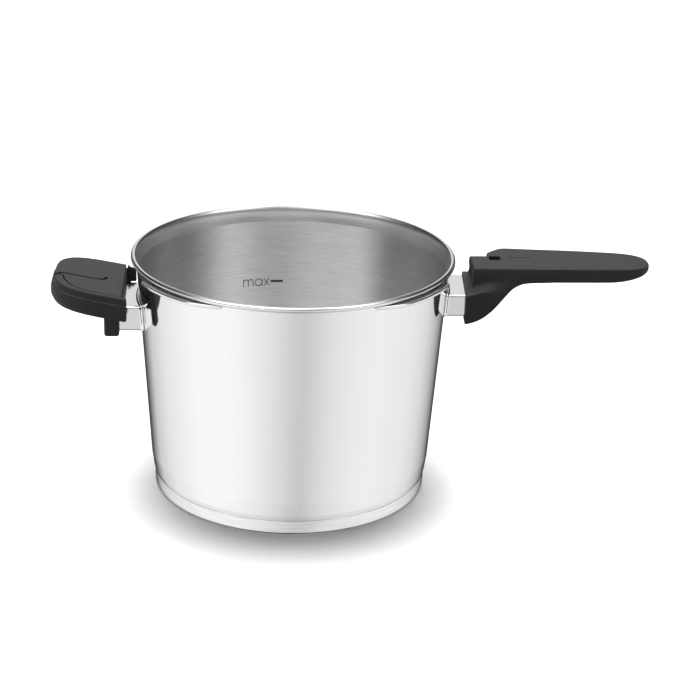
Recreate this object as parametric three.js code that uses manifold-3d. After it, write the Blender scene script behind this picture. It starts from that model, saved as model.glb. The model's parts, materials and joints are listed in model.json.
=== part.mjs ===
// Pressure cooker pot: a conical steel body on a capsule base, with four bayonet lugs under the rim,
// a long handle and a helper handle. Millimetres, +Z up.
// The origin is the centre of the base's underside. +X points along the long handle.

import * as THREE from 'three';
import { mergeVertices } from 'three/addons/utils/BufferGeometryUtils.js';
import { ConvexGeometry } from 'three/addons/geometries/ConvexGeometry.js';
import Module from 'manifold-3d';

const wasm = await Module();
wasm.setup();

// ---------- driving dimensions ----------
const GAP = 0.3; // between pieces that touch
const AROUND = 96; // facets round the pot

const WALL_T = 1.2; // sheet of the pot body
const WALL_R0 = 105.83; // outer radius the straight wall would have at z = 0
const WALL_SLOPE = 0.0677; // radius gained per mm of height
const BEAD_R = 120; // centreline of the rolled rim
const BEAD_Z = 182.6;
const BEAD_SIZE = 2; // radius of the roll
const LIP_R = 119.6; // top of the rounded lip that runs down into the inside wall
const LIP_REACH = 3.6; // how far the lip runs inwards
const LIP_DROP = 14; // and how far down
const FLOOR_Z = 7.8; // underside of the pot's floor sheet

const CAP_R = 105; // capsule base
const CAP_H = 11.3;
const CAP_T = 0.9;
const CAP_EDGE = 1.6;
const CORE_R = 98.6; // heat-spreading disc inside the capsule
const CORE_T = 6.3;

const LUG_R_IN = 118.5;
const LUG_R_OUT = 126;
const LUG_Z = 177.6;
const LUG_T = 2.6;
const LUG_HALF_ANGLE = 18.5; // degrees
const LUG_CENTRE_ANGLE = 44.5; // degrees from the handle axis
const LUG_TAPER_ANGLE = 11;

const SHEET_T = 1.6; // sheet of the handle brackets
const SCREW_R = 2.4;
const HOLE_R = 2.75;
const HEAD_R = 4.4;
const WASHER_R = 4.7;
const RECESS_R = 5.6;

// Handle brackets: side +1 carries the long handle, side -1 the helper handle.
const LONG_NECK = { side: 1, halfWidth: 23.9, bottom: 142.2, top: 159.7, end: 141, lip: 2.4, plate: 15 };
const HELPER_NECK = { side: -1, halfWidth: 27.9, bottom: 130.9, top: 150.4, end: 134.5, lip: 2.4, plate: 18 };
const SCREW_Y = 13; // each handle has two screws, this far either side of its axis

const GRIP_TOP = 179.2; // long handle: flat top
const GRIP_PLATE_BOTTOM = 166;
const GRIP_TIP_X = 271;
const COLLAR_X = 128.5;
const COLLAR_HALF_W = 27.4;
const COLLAR_BOTTOM = 139;
const COLLAR_TOP = 161.8;
const LATCH = { x0: 147.6, x1: 158, y0: 1.5, y1: 11.1, floor: 168 };

const DECK_Z = 160.3; // helper handle: height of its sloping top at DECK_X
const DECK_X = -126;
const DECK_RISE = 0.19; // mm up for each mm away from the pot
const DECK_T = 2.2; // thickness of the inlaid top panel
const HELPER_T = 17;
const FINGER_T = 6; // material left above the finger recess

// ---------- materials ----------
const STEEL = { color: 0xd4d5d6, roughness: 0.12, metalness: 1 };
const SATIN = { color: 0xbfc0c2, roughness: 0.38, metalness: 1 };
const ALUMINIUM = { color: 0xb9babc, roughness: 0.5, metalness: 1 };
const PLASTIC = { color: 0x1d1d1e, roughness: 0.55, metalness: 0 };

const group = new THREE.Group();

function addPiece(name, manifold, look) {
  const source = manifold.getMesh();
  const geometry = new THREE.BufferGeometry();
  geometry.setAttribute('position', new THREE.BufferAttribute(Float32Array.from(source.vertProperties), 3));
  geometry.setIndex(new THREE.BufferAttribute(Uint32Array.from(source.triVerts), 1));
  geometry.computeVertexNormals();
  const mesh = new THREE.Mesh(geometry, new THREE.MeshStandardMaterial(look));
  mesh.name = name;
  group.add(mesh);
}

// ---------- shape helpers ----------
function solid(geometry) {
  geometry.deleteAttribute('normal');
  geometry.deleteAttribute('uv');
  const merged = mergeVertices(geometry, 1e-4);
  const index = merged.index.array;
  const triangles = [];
  for (let i = 0; i < index.length; i += 3) {
    const [a, b, c] = [index[i], index[i + 1], index[i + 2]];
    if (a !== b && b !== c && c !== a) triangles.push(a, b, c);
  }
  return new wasm.Manifold(new wasm.Mesh({
    numProp: 3,
    vertProperties: Float32Array.from(merged.attributes.position.array),
    triVerts: Uint32Array.from(triangles),
  }));
}

function revolve(profile, segments) {
  const points = profile.map(([r, z]) => new THREE.Vector2(r, z));
  return solid(new THREE.LatheGeometry(points, segments).rotateX(Math.PI / 2));
}

// An outline in plan, pulled from z0 up to z1. A bevel rounds or chamfers both ends inwards.
function pullUp(shape, z0, z1, bevel = 0, bevelSteps = 1, curveSegments = 8) {
  const geometry = new THREE.ExtrudeGeometry(shape, {
    depth: z1 - z0 - 2 * bevel,
    bevelEnabled: bevel > 0,
    bevelThickness: bevel,
    bevelSize: bevel,
    bevelOffset: -bevel,
    bevelSegments: bevelSteps,
    curveSegments,
  });
  return solid(geometry.translate(0, 0, z0 + bevel));
}

// An outline in the YZ plane, pulled along X from x0 to x1.
function pullX(shape, x0, x1, curveSegments = 6) {
  const geometry = new THREE.ExtrudeGeometry(shape, { depth: x1 - x0, bevelEnabled: false, curveSegments });
  const turn = new THREE.Matrix4().makeBasis(
    new THREE.Vector3(0, 1, 0), new THREE.Vector3(0, 0, 1), new THREE.Vector3(1, 0, 0));
  return solid(geometry.applyMatrix4(turn).translate(x0, 0, 0));
}

// An outline in the XZ plane, pulled along Y from y0 to y1.
function pullY(shape, y0, y1, curveSegments = 8) {
  const geometry = new THREE.ExtrudeGeometry(shape, { depth: y1 - y0, bevelEnabled: false, curveSegments });
  const turn = new THREE.Matrix4().makeBasis(
    new THREE.Vector3(1, 0, 0), new THREE.Vector3(0, 0, 1), new THREE.Vector3(0, -1, 0));
  return solid(geometry.applyMatrix4(turn).translate(0, y1, 0));
}

function box(x0, x1, y0, y1, z0, z1) {
  const geometry = new THREE.BoxGeometry(x1 - x0, y1 - y0, z1 - z0);
  return solid(geometry.translate((x0 + x1) / 2, (y0 + y1) / 2, (z0 + z1) / 2));
}

function rodX(radius, x0, x1, y, z, segments = 28) {
  const geometry = new THREE.CylinderGeometry(radius, radius, x1 - x0, segments).rotateZ(Math.PI / 2);
  return solid(geometry.translate((x0 + x1) / 2, y, z));
}

function polygon(points) {
  return new THREE.Shape(points.map(([u, v]) => new THREE.Vector2(u, v)));
}

function roundedRect(u0, u1, v0, v1, r) {
  const shape = new THREE.Shape();
  shape.moveTo(u0 + r, v0);
  shape.lineTo(u1 - r, v0);
  shape.absarc(u1 - r, v0 + r, r, -Math.PI / 2, 0);
  shape.lineTo(u1, v1 - r);
  shape.absarc(u1 - r, v1 - r, r, 0, Math.PI / 2);
  shape.lineTo(u0 + r, v1);
  shape.absarc(u0 + r, v1 - r, r, Math.PI / 2, Math.PI);
  shape.lineTo(u0, v0 + r);
  shape.absarc(u0 + r, v0 + r, r, Math.PI, 1.5 * Math.PI);
  return shape;
}

const wallRadius = (z) => WALL_R0 + WALL_SLOPE * z;

// The space inside a surface that stands `offset` outside the conical wall.
function insideWall(offset) {
  const [low, high] = [60, 200];
  return revolve([
    [0, low],
    [wallRadius(low) + offset, low],
    [wallRadius(high) + offset, high],
    [0, high],
  ], AROUND);
}

// ---------- pot body ----------
function potShell() {
  const straightLow = 27;
  const straightHigh = 168;
  const outside = [
    [0, FLOOR_Z],
    [98.5, FLOOR_Z],
    [100.9, 8.3],
    [102.6, 9.6],
    [103.7, 11.5],
    [105.2, 11.8],
    [106, 15],
    [106.9, 20.5],
    [wallRadius(straightLow), straightLow],
    [wallRadius(straightHigh), straightHigh],
    [117.7, 176],
    [118, BEAD_Z - 0.8],
  ];
  const roll = [];
  const rollSteps = 8;
  for (let i = 0; i <= rollSteps; i++) {
    const angle = THREE.MathUtils.degToRad(-150 + (240 * i) / rollSteps);
    roll.push([BEAD_R + BEAD_SIZE * Math.cos(angle), BEAD_Z + BEAD_SIZE * Math.sin(angle)]);
  }
  const lipTop = BEAD_Z + BEAD_SIZE;
  const lip = [];
  const lipSteps = 6;
  for (let i = 1; i <= lipSteps; i++) {
    const turn = (Math.PI / 2) * (i / lipSteps);
    lip.push([LIP_R - LIP_REACH * Math.sin(turn), lipTop - LIP_DROP * (1 - Math.cos(turn))]);
  }
  const inside = [
    [wallRadius(straightHigh) - WALL_T - 0.1, straightHigh],
    [wallRadius(straightLow) - WALL_T, straightLow],
    [105.3, 19.5],
    [103, 13.6],
    [100, 10.3],
    [96, FLOOR_Z + WALL_T],
    [0, FLOOR_Z + WALL_T],
  ];
  return revolve([...outside, ...roll, ...lip, ...inside], AROUND);
}

function baseCap() {
  return revolve([
    [0, 0],
    [CAP_R - CAP_EDGE - 0.3, 0],
    [CAP_R - CAP_EDGE * 0.4, CAP_EDGE * 0.45],
    [CAP_R - 0.1, CAP_EDGE],
    [CAP_R, CAP_H],
    [CAP_R - CAP_T, CAP_H],
    [CAP_R - CAP_T - 0.1, CAP_EDGE + 0.7],
    [CAP_R - CAP_T - 1.4, CAP_T],
    [0, CAP_T],
  ], AROUND);
}

function baseCore() {
  const low = CAP_T + GAP;
  return revolve([
    [0, low],
    [CORE_R, low],
    [CORE_R + 0.8, low + 0.8],
    [CORE_R + 0.8, low + CORE_T - 1.2],
    [CORE_R - 0.4, low + CORE_T],
    [0, low + CORE_T],
  ], 48);
}

// Blunt at the handle end, tapered at the other. `far` is +1 where that end has the larger angle.
function bayonetLug(centreDegrees, far) {
  const centre = THREE.MathUtils.degToRad(centreDegrees);
  const half = far * THREE.MathUtils.degToRad(LUG_HALF_ANGLE);
  const taper = far * THREE.MathUtils.degToRad(LUG_TAPER_ANGLE);
  const corner = 0.6 * (LUG_R_OUT - LUG_R_IN);
  const turn = (far * corner) / LUG_R_OUT;
  const at = (r, a) => new THREE.Vector2(r * Math.cos(centre + a), r * Math.sin(centre + a));
  const step = (from, to, i, steps) => from + ((to - from) * i) / steps;
  const arc = (r, from, to, steps) => Array.from({ length: steps + 1 }, (_, i) => at(r, step(from, to, i, steps)));
  const blunt = new THREE.QuadraticBezierCurve(
    at(LUG_R_OUT - corner, -half), at(LUG_R_OUT, -half), at(LUG_R_OUT, -half + turn)).getPoints(5);
  const outline = [
    at(LUG_R_IN, -half),
    ...blunt,
    ...arc(LUG_R_OUT, -half + turn, half - taper, 12).slice(1),
    at(LUG_R_OUT - 0.7, half - taper * 0.6),
    at(LUG_R_IN + 2.6, half - taper * 0.05),
    at(LUG_R_IN + 1.4, half),
    ...arc(LUG_R_IN, half, -half, 18).slice(0, -1),
  ];
  return pullUp(new THREE.Shape(outline), LUG_Z, LUG_Z + LUG_T, 0.5, 1);
}

// ---------- handle brackets ----------
// A stamped steel box neck whose pot end is turned out into a flange that follows the wall.
function bracket(neck) {
  const { halfWidth: w, bottom, top, side, end, lip } = neck;
  const span = (a, b) => [Math.min(side * a, side * b), Math.max(side * a, side * b)];
  const tube = pullX(roundedRect(-w, w, bottom, top, 2.4), ...span(90, end), 5);
  const hollow = pullX(
    roundedRect(-w + SHEET_T, w - SHEET_T, bottom + SHEET_T, top - SHEET_T, 1), ...span(80, end - SHEET_T), 3);
  const rise = 1.2; // how far the flange stands above the neck
  const flange = pullX(roundedRect(-w - lip, w + lip, bottom - 0.5, top + rise, 3), ...span(85, 130))
    .intersect(insideWall(GAP + SHEET_T));
  // The sheet sweeps up from the neck's top into the flange.
  const sweep = new THREE.Shape();
  const root = Math.sqrt((wallRadius(top) + SHEET_T) ** 2 - w ** 2) - 1;
  sweep.moveTo(side * (root - 8), top - SHEET_T);
  sweep.lineTo(side * (root + 6), top - SHEET_T);
  sweep.lineTo(side * (root + 6), top);
  sweep.quadraticCurveTo(side * (root + 1), top, side * root, top + rise);
  sweep.lineTo(side * (root - 8), top + rise);
  const fillet = pullY(sweep, -w + 1, w - 1, 5);
  let body = tube.add(fillet).subtract(hollow).add(flange.subtract(hollow));
  body = body.subtract(insideWall(GAP));
  for (const y of [-SCREW_Y, SCREW_Y]) {
    body = body.subtract(rodX(HOLE_R, ...span(end - 3, end + 1), y, (bottom + top) / 2));
  }
  return body;
}

// The tapped plate behind the neck's end wall, which the handle screws pull on.
function threadedPlate(neck) {
  const { bottom, top, side, end, plate } = neck;
  const z = (bottom + top) / 2;
  const near = end - SHEET_T - GAP;
  const far = near - 4;
  const [x0, x1] = [Math.min(side * far, side * near), Math.max(side * far, side * near)];
  let body = pullX(roundedRect(-plate - 4, plate + 4, z - 6, z + 6, 2), x0, x1, 4);
  for (const y of [-SCREW_Y, SCREW_Y]) {
    body = body.subtract(rodX(HOLE_R, x0 - 1, x1 + 1, y, z));
  }
  return body;
}

function screw(neck, y, seat) {
  const { bottom, top, side, end } = neck;
  const z = (bottom + top) / 2;
  const span = (a, b) => [Math.min(side * a, side * b), Math.max(side * a, side * b)];
  const headHeight = 2.6;
  const shank = rodX(SCREW_R, ...span(end - 8, seat + 1), y, z, 24);
  const head = rodX(HEAD_R, ...span(seat, seat + headHeight), y, z, 28);
  const slotWide = box(...span(seat + 1.2, seat + 4), y - 0.6, y + 0.6, z - 2.8, z + 2.8);
  const slotTall = box(...span(seat + 1.2, seat + 4), y - 2.8, y + 2.8, z - 0.6, z + 0.6);
  return shank.add(head).subtract(slotWide).subtract(slotTall);
}

function washer(neck, y, seat) {
  const { bottom, top, side } = neck;
  const z = (bottom + top) / 2;
  const span = (a, b) => [Math.min(side * a, side * b), Math.max(side * a, side * b)];
  return rodX(WASHER_R, ...span(seat - 0.3 - 0.8, seat - 0.3), y, z)
    .subtract(rodX(HOLE_R, ...span(seat - 3, seat + 1), y, z));
}

// ---------- long handle ----------
// In plan: a narrow nose near the pot, a step on the +Y side, then a wide grip that narrows to a round tip.
function gripPlan() {
  const shape = new THREE.Shape();
  shape.moveTo(135.2, -18.6);
  shape.lineTo(238, -19.4);
  shape.bezierCurveTo(255, -19, 264, -17, 267.6, -12.4);
  shape.bezierCurveTo(270.2, -9, GRIP_TIP_X, -4.5, GRIP_TIP_X, -0.5);
  shape.bezierCurveTo(GRIP_TIP_X, 4.5, 269.6, 9, 267.3, 11.8);
  shape.bezierCurveTo(262, 17.8, 254, 19.8, 244.9, 21.6);
  shape.quadraticCurveTo(205, 27.6, 168, 30.2);
  shape.quadraticCurveTo(161.5, 30.4, 158.2, 28);
  shape.lineTo(150.5, 19.8);
  shape.lineTo(150.5, 11.1);
  shape.lineTo(135.2, 11.1);
  return shape;
}

// Seen from the front: the underside runs out from the collar in an S and then level to the tip.
function gripSide(top, backX) {
  const shape = new THREE.Shape();
  shape.moveTo(backX, COLLAR_BOTTOM);
  shape.bezierCurveTo(140, COLLAR_BOTTOM, 150, 145, 158, 154.5);
  shape.bezierCurveTo(164, 162, 168, GRIP_PLATE_BOTTOM, 180, GRIP_PLATE_BOTTOM);
  shape.lineTo(244, GRIP_PLATE_BOTTOM);
  shape.quadraticCurveTo(262, GRIP_PLATE_BOTTOM + 1, 272, 173);
  shape.lineTo(272, top);
  shape.lineTo(backX, top);
  return shape;
}

// In plan: the collar round the neck, tapering away under the grip.
function collarPlan() {
  return polygon([
    [COLLAR_X, -COLLAR_HALF_W],
    [142, -COLLAR_HALF_W + 0.8],
    [158, -22.6],
    [176, -19.2],
    [194, -12.6],
    [194, 12],
    [176, 20],
    [158, 24],
    [144, COLLAR_HALF_W - 0.8],
    [COLLAR_X + 3.4, COLLAR_HALF_W],
  ]);
}

// In plan: the nose's sides carried down into the collar, and faded out under the grip.
function stemPlan() {
  return polygon([[130, -18.6], [162, -18.6], [194, -12.6], [194, 5.5], [162, 11.1], [130, 11.1]]);
}

function longHandleGrip(neck, seat) {
  const plate = pullUp(gripPlan(), 155, GRIP_TOP + 20, 0)
    .intersect(pullUp(gripPlan(), GRIP_PLATE_BOTTOM - 5.5, GRIP_TOP, 0.7))
    .intersect(pullY(gripSide(GRIP_TOP, 130), -40, 40));
  const underside = pullUp(gripPlan(), GRIP_PLATE_BOTTOM, GRIP_TOP + 20, 4.6, 2);
  const stem = pullUp(stemPlan(), 130, 172);
  const upper = plate.intersect(underside.add(stem));
  const neckSide = new THREE.Shape();
  neckSide.moveTo(COLLAR_X, COLLAR_BOTTOM);
  neckSide.bezierCurveTo(140, COLLAR_BOTTOM, 150, 145, 158, 154.5);
  neckSide.bezierCurveTo(164, 162, 168, GRIP_PLATE_BOTTOM, 180, GRIP_PLATE_BOTTOM);
  neckSide.lineTo(194, GRIP_PLATE_BOTTOM);
  neckSide.lineTo(194, 176);
  neckSide.lineTo(180, 176);
  neckSide.quadraticCurveTo(165, 175.5, 152, 169);
  neckSide.quadraticCurveTo(142, COLLAR_TOP + 1, 136, COLLAR_TOP);
  neckSide.lineTo(COLLAR_X, COLLAR_TOP);
  const collar = pullY(neckSide, -40, 40).intersect(pullUp(collarPlan(), 120, 190));
  const nose = box(135.2, 165, -18.6, 11.1, 158, 170);
  const side = 1;
  const z = (neck.bottom + neck.top) / 2;
  const socket = pullX(roundedRect(
    -neck.halfWidth - GAP, neck.halfWidth + GAP, neck.bottom - GAP, neck.top + GAP, 2.7),
    side * 120, neck.end + GAP, 5);
  let body = upper.add(collar).add(nose).subtract(socket);
  body = body.subtract(box(LATCH.x0, LATCH.x1, LATCH.y0, LATCH.y1, LATCH.floor, GRIP_TOP + 5));
  for (const y of [-SCREW_Y, SCREW_Y]) {
    body = body.subtract(rodX(HOLE_R, neck.end - 2, seat + 2, y, z));
    body = body.subtract(rodX(RECESS_R, seat - 1.1 - GAP, 175, y, z));
  }
  return body;
}

// ---------- helper handle ----------
const deckHeight = (x) => DECK_Z + DECK_RISE * (DECK_X - x);

// One outline of the helper handle, level with the sloping top and `drop` below it.
function helperRing(innerX, reach, halfWidth, drop) {
  const rootX = -135;
  const roundness = 2 / 3.2;
  const ring = [[innerX, -halfWidth], [innerX, halfWidth]];
  const steps = 18;
  for (let i = 0; i <= steps; i++) {
    const angle = Math.PI / 2 - (Math.PI * i) / steps;
    const along = Math.abs(Math.cos(angle)) ** roundness;
    const across = Math.sign(Math.sin(angle)) * Math.abs(Math.sin(angle)) ** roundness;
    ring.push([rootX - reach * along, halfWidth * across]);
  }
  return ring.map(([x, y]) => new THREE.Vector3(x, y, deckHeight(x) - drop));
}

function helperBlank() {
  return solid(new ConvexGeometry([
    ...helperRing(-126.6, 43, 39.2, 0),
    ...helperRing(-124, 45.6, 40.8, 6),
    ...helperRing(-124, 46.6, 41, 12),
    ...helperRing(-124, 43.6, 39.8, HELPER_T),
  ]));
}

// The panel let into the top: full width at the back, set in from the edge at the front.
function panelPlan(grow) {
  const shape = new THREE.Shape();
  shape.moveTo(-127.4 + grow, -34.6 - grow);
  shape.bezierCurveTo(-150, -34.2 - grow, -168 - grow, -32 - grow, -171 - grow, -8);
  shape.quadraticCurveTo(-171.4 - grow, -5.7 - grow, -174 - grow, -6.2 - 1.5 * grow);
  shape.lineTo(-190, -12 - 1.5 * grow);
  shape.lineTo(-190, 45);
  shape.lineTo(-127.4 + grow, 45);
  return shape;
}

// Everything between two surfaces parallel to the sloping top.
function deckSlab(dropLow, dropHigh) {
  const [near, far] = [-110, -195];
  return pullY(polygon([
    [near, deckHeight(near) - dropLow],
    [near, deckHeight(near) - dropHigh],
    [far, deckHeight(far) - dropHigh],
    [far, deckHeight(far) - dropLow],
  ]), -60, 60);
}

function helperTopPanel() {
  const outline = pullUp(panelPlan(0), 120, 200, 0, 1, 12);
  return helperBlank().intersect(outline).intersect(deckSlab(DECK_T, -20));
}

function helperGrip(neck, seat) {
  const z = (neck.bottom + neck.top) / 2;
  const socketWall = 5;
  const leg = pullX(roundedRect(
    -neck.halfWidth - socketWall, neck.halfWidth + socketWall, neck.bottom - 2.8, 156, 3), -141, -129.8);
  // The back wall runs on past the top panel towards the pot. Between the side walls the end is cut back.
  const endWall = pullY(polygon([
    [-130, 147],
    [-119.7, 147],
    [-119.7, 155.6],
    [-122.3, 158.2],
    [-130, 158.2],
  ]), 37.4, 40.6);
  const endRoom = box(-126.9, -110, -33.2, 37.4, 120, 200);
  const recess = new THREE.Shape();
  recess.moveTo(-146, -26);
  recess.lineTo(-146, 26);
  recess.bezierCurveTo(-165, 26, -170, 18, -170, 0);
  recess.bezierCurveTo(-170, -18, -165, -26, -146, -26);
  const fingerRoom = pullUp(recess, 100, 200, 0, 1, 8).intersect(deckSlab(60, FINGER_T));
  const socket = pullX(roundedRect(
    -neck.halfWidth - GAP, neck.halfWidth + GAP, neck.bottom - GAP, neck.top + GAP, 2.7),
    -neck.end - GAP, -110, 5);
  const panelBed = pullUp(panelPlan(0.4), 100, 200, 0, 1, 12).intersect(deckSlab(DECK_T + GAP, -20));
  let body = helperBlank().subtract(panelBed).subtract(fingerRoom).subtract(endRoom).add(leg).add(endWall);
  body = body.subtract(socket).subtract(helperTopPanelRoom());
  for (const y of [-SCREW_Y, SCREW_Y]) {
    body = body.subtract(rodX(HOLE_R, -seat - 2, -neck.end + 2, y, z));
    const recessRod = rodX(RECESS_R, -170, -seat + 1.1 + GAP, y, z);
    body = body.subtract(recessRod.intersect(box(-170, -100, -40, 40, 100, 152)));
  }
  return body;
}

// Clearance that keeps the end wall and the leg off the top panel.
function helperTopPanelRoom() {
  return pullUp(panelPlan(0.4), 100, 200, 0, 1, 12)
    .intersect(deckSlab(DECK_T + GAP, -1))
    .intersect(box(-190, -127, -60, 60, 100, 200));
}

// ---------- assembly ----------
addPiece('pot_shell', potShell(), STEEL);
addPiece('base_cap', baseCap(), SATIN);
addPiece('base_core', baseCore(), ALUMINIUM);

const lugs = {
  bayonet_lug_back_right: [LUG_CENTRE_ANGLE, 1],
  bayonet_lug_back_left: [180 - LUG_CENTRE_ANGLE, -1],
  bayonet_lug_front_left: [180 + LUG_CENTRE_ANGLE, 1],
  bayonet_lug_front_right: [-LUG_CENTRE_ANGLE, -1],
};
for (const [name, [angle, far]] of Object.entries(lugs)) {
  addPiece(name, bayonetLug(angle, far), STEEL);
}

const LONG_SEAT = LONG_NECK.end + 5.6; // where the screw heads bear, measured along the handle
const HELPER_SEAT = HELPER_NECK.end + 4.6;

addPiece('long_handle_bracket', bracket(LONG_NECK), STEEL);
addPiece('long_handle_threaded_plate', threadedPlate(LONG_NECK), SATIN);
addPiece('long_handle_grip', longHandleGrip(LONG_NECK, LONG_SEAT), PLASTIC);
addPiece('helper_handle_bracket', bracket(HELPER_NECK), STEEL);
addPiece('helper_handle_threaded_plate', threadedPlate(HELPER_NECK), SATIN);
addPiece('helper_handle_grip', helperGrip(HELPER_NECK, HELPER_SEAT), PLASTIC);
addPiece('helper_handle_top_panel', helperTopPanel(), PLASTIC);

for (const [place, y] of [['front', -SCREW_Y], ['back', SCREW_Y]]) {
  addPiece(`long_handle_screw_${place}`, screw(LONG_NECK, y, LONG_SEAT), SATIN);
  addPiece(`long_handle_washer_${place}`, washer(LONG_NECK, y, LONG_SEAT), SATIN);
  addPiece(`helper_handle_screw_${place}`, screw(HELPER_NECK, y, HELPER_SEAT), SATIN);
  addPiece(`helper_handle_washer_${place}`, washer(HELPER_NECK, y, HELPER_SEAT), SATIN);
}

export default group;
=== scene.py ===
"""Looks for the pressure cooker pot: smooth steel, moulded handles, a pale studio.

Shapes are given in millimetres in the CAD frame and become metres when a mesh is made.
"""

import json
import math

import bpy
import numpy as np
from mathutils import Matrix, Vector

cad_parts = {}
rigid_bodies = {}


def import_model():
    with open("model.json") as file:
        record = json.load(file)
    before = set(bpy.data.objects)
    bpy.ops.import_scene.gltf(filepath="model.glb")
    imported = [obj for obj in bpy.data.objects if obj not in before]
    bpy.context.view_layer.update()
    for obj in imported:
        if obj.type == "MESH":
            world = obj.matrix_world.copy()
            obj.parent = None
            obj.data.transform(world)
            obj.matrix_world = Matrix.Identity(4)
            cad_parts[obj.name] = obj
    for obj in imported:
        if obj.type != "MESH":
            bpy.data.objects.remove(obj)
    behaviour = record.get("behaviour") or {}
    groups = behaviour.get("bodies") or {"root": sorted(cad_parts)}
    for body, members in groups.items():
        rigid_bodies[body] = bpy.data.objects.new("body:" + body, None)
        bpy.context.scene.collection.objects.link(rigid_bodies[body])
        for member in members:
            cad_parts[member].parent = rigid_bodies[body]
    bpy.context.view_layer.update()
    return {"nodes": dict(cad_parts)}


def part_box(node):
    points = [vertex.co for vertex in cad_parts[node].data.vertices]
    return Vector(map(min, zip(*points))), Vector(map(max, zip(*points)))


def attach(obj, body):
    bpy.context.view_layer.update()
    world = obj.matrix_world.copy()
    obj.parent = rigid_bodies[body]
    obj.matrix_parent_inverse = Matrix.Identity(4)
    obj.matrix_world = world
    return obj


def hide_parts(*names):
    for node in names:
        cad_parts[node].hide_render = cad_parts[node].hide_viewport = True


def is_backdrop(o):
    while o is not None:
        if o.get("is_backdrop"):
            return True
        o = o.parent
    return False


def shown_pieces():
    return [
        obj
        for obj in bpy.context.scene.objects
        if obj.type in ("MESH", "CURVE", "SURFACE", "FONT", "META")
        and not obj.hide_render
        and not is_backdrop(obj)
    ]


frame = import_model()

MM = 0.001


# ---------- numbers from the frame ----------
def box_mm(node):
    low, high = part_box(node)
    return np.array(low) / MM, np.array(high) / MM


POT_LOW, POT_HIGH = box_mm("pot_shell")
BASE_LOW, BASE_HIGH = box_mm("base_cap")
LUG_LOW, LUG_HIGH = box_mm("bayonet_lug_back_right")
GRIP_LOW, GRIP_HIGH = box_mm("long_handle_grip")

WALL_R0 = 105.83  # outer radius the straight wall would have at z = 0
WALL_SLOPE = 0.0677  # radius gained per mm of height
WALL_T = 1.2
WALL_LOW, WALL_HIGH = 27.0, 165.0  # the straight part of the wall
LATHE_STEPS = 256
BEAD_SIZE = 2.0
BEAD_R = POT_HIGH[0] - BEAD_SIZE
BEAD_Z = POT_HIGH[2] - BEAD_SIZE
FLOOR_Z = POT_LOW[2]
SEAM_Z = BASE_HIGH[2]
BASE_R = BASE_HIGH[0]
LIP_R, LIP_REACH, LIP_DROP = 119.6, 3.6, 14.0  # the rounded lip inside the rim

LUG_Z0, LUG_Z1 = LUG_LOW[2], LUG_HIGH[2]
LUG_R0, LUG_R1 = 118.5, 126.0
LUG_CENTRE, LUG_HALF = math.radians(44.5), math.radians(18.5)
LUG_TAPER = 24.0  # length of the thin end
LUG_CELL = 0.5

GRIP_TOP = GRIP_HIGH[2]
GRIP_TIP = GRIP_HIGH[0]
COLLAR_X = GRIP_LOW[0]
COLLAR_W = 27.4  # the collar's half width
GRIP_FRONT_W, GRIP_BACK_W = 18.6, 11.1  # half widths of the body under the plate

LONG_NECK = {"side": 1, "w": 23.9, "z0": 142.2, "z1": 159.7, "end": 141.0, "lip": 1.0}
HELPER_NECK = {"side": -1, "w": 27.9, "z0": 130.9, "z1": 150.4, "end": 134.5, "lip": 1.0}
SHEET = 1.6
NECK_GAP = 0.3  # room between a neck and the socket round it
SCREW_Y = 13.0
SCREW_BORE, SCREW_HEAD_BORE = 2.75, 5.6
LONG_SEAT, HELPER_SEAT = 146.6, 139.1  # where the screw heads sit
WASHER_T = 1.4

DECK_X, DECK_Z, DECK_RISE = -126.0, 160.3, 0.19  # the helper handle's sloping top
BRACKET_CELL, GRIP_CELL, PANEL_CELL = 0.55, 0.7, 0.45


def wall_radius(z):
    return WALL_R0 + WALL_SLOPE * z


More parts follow.
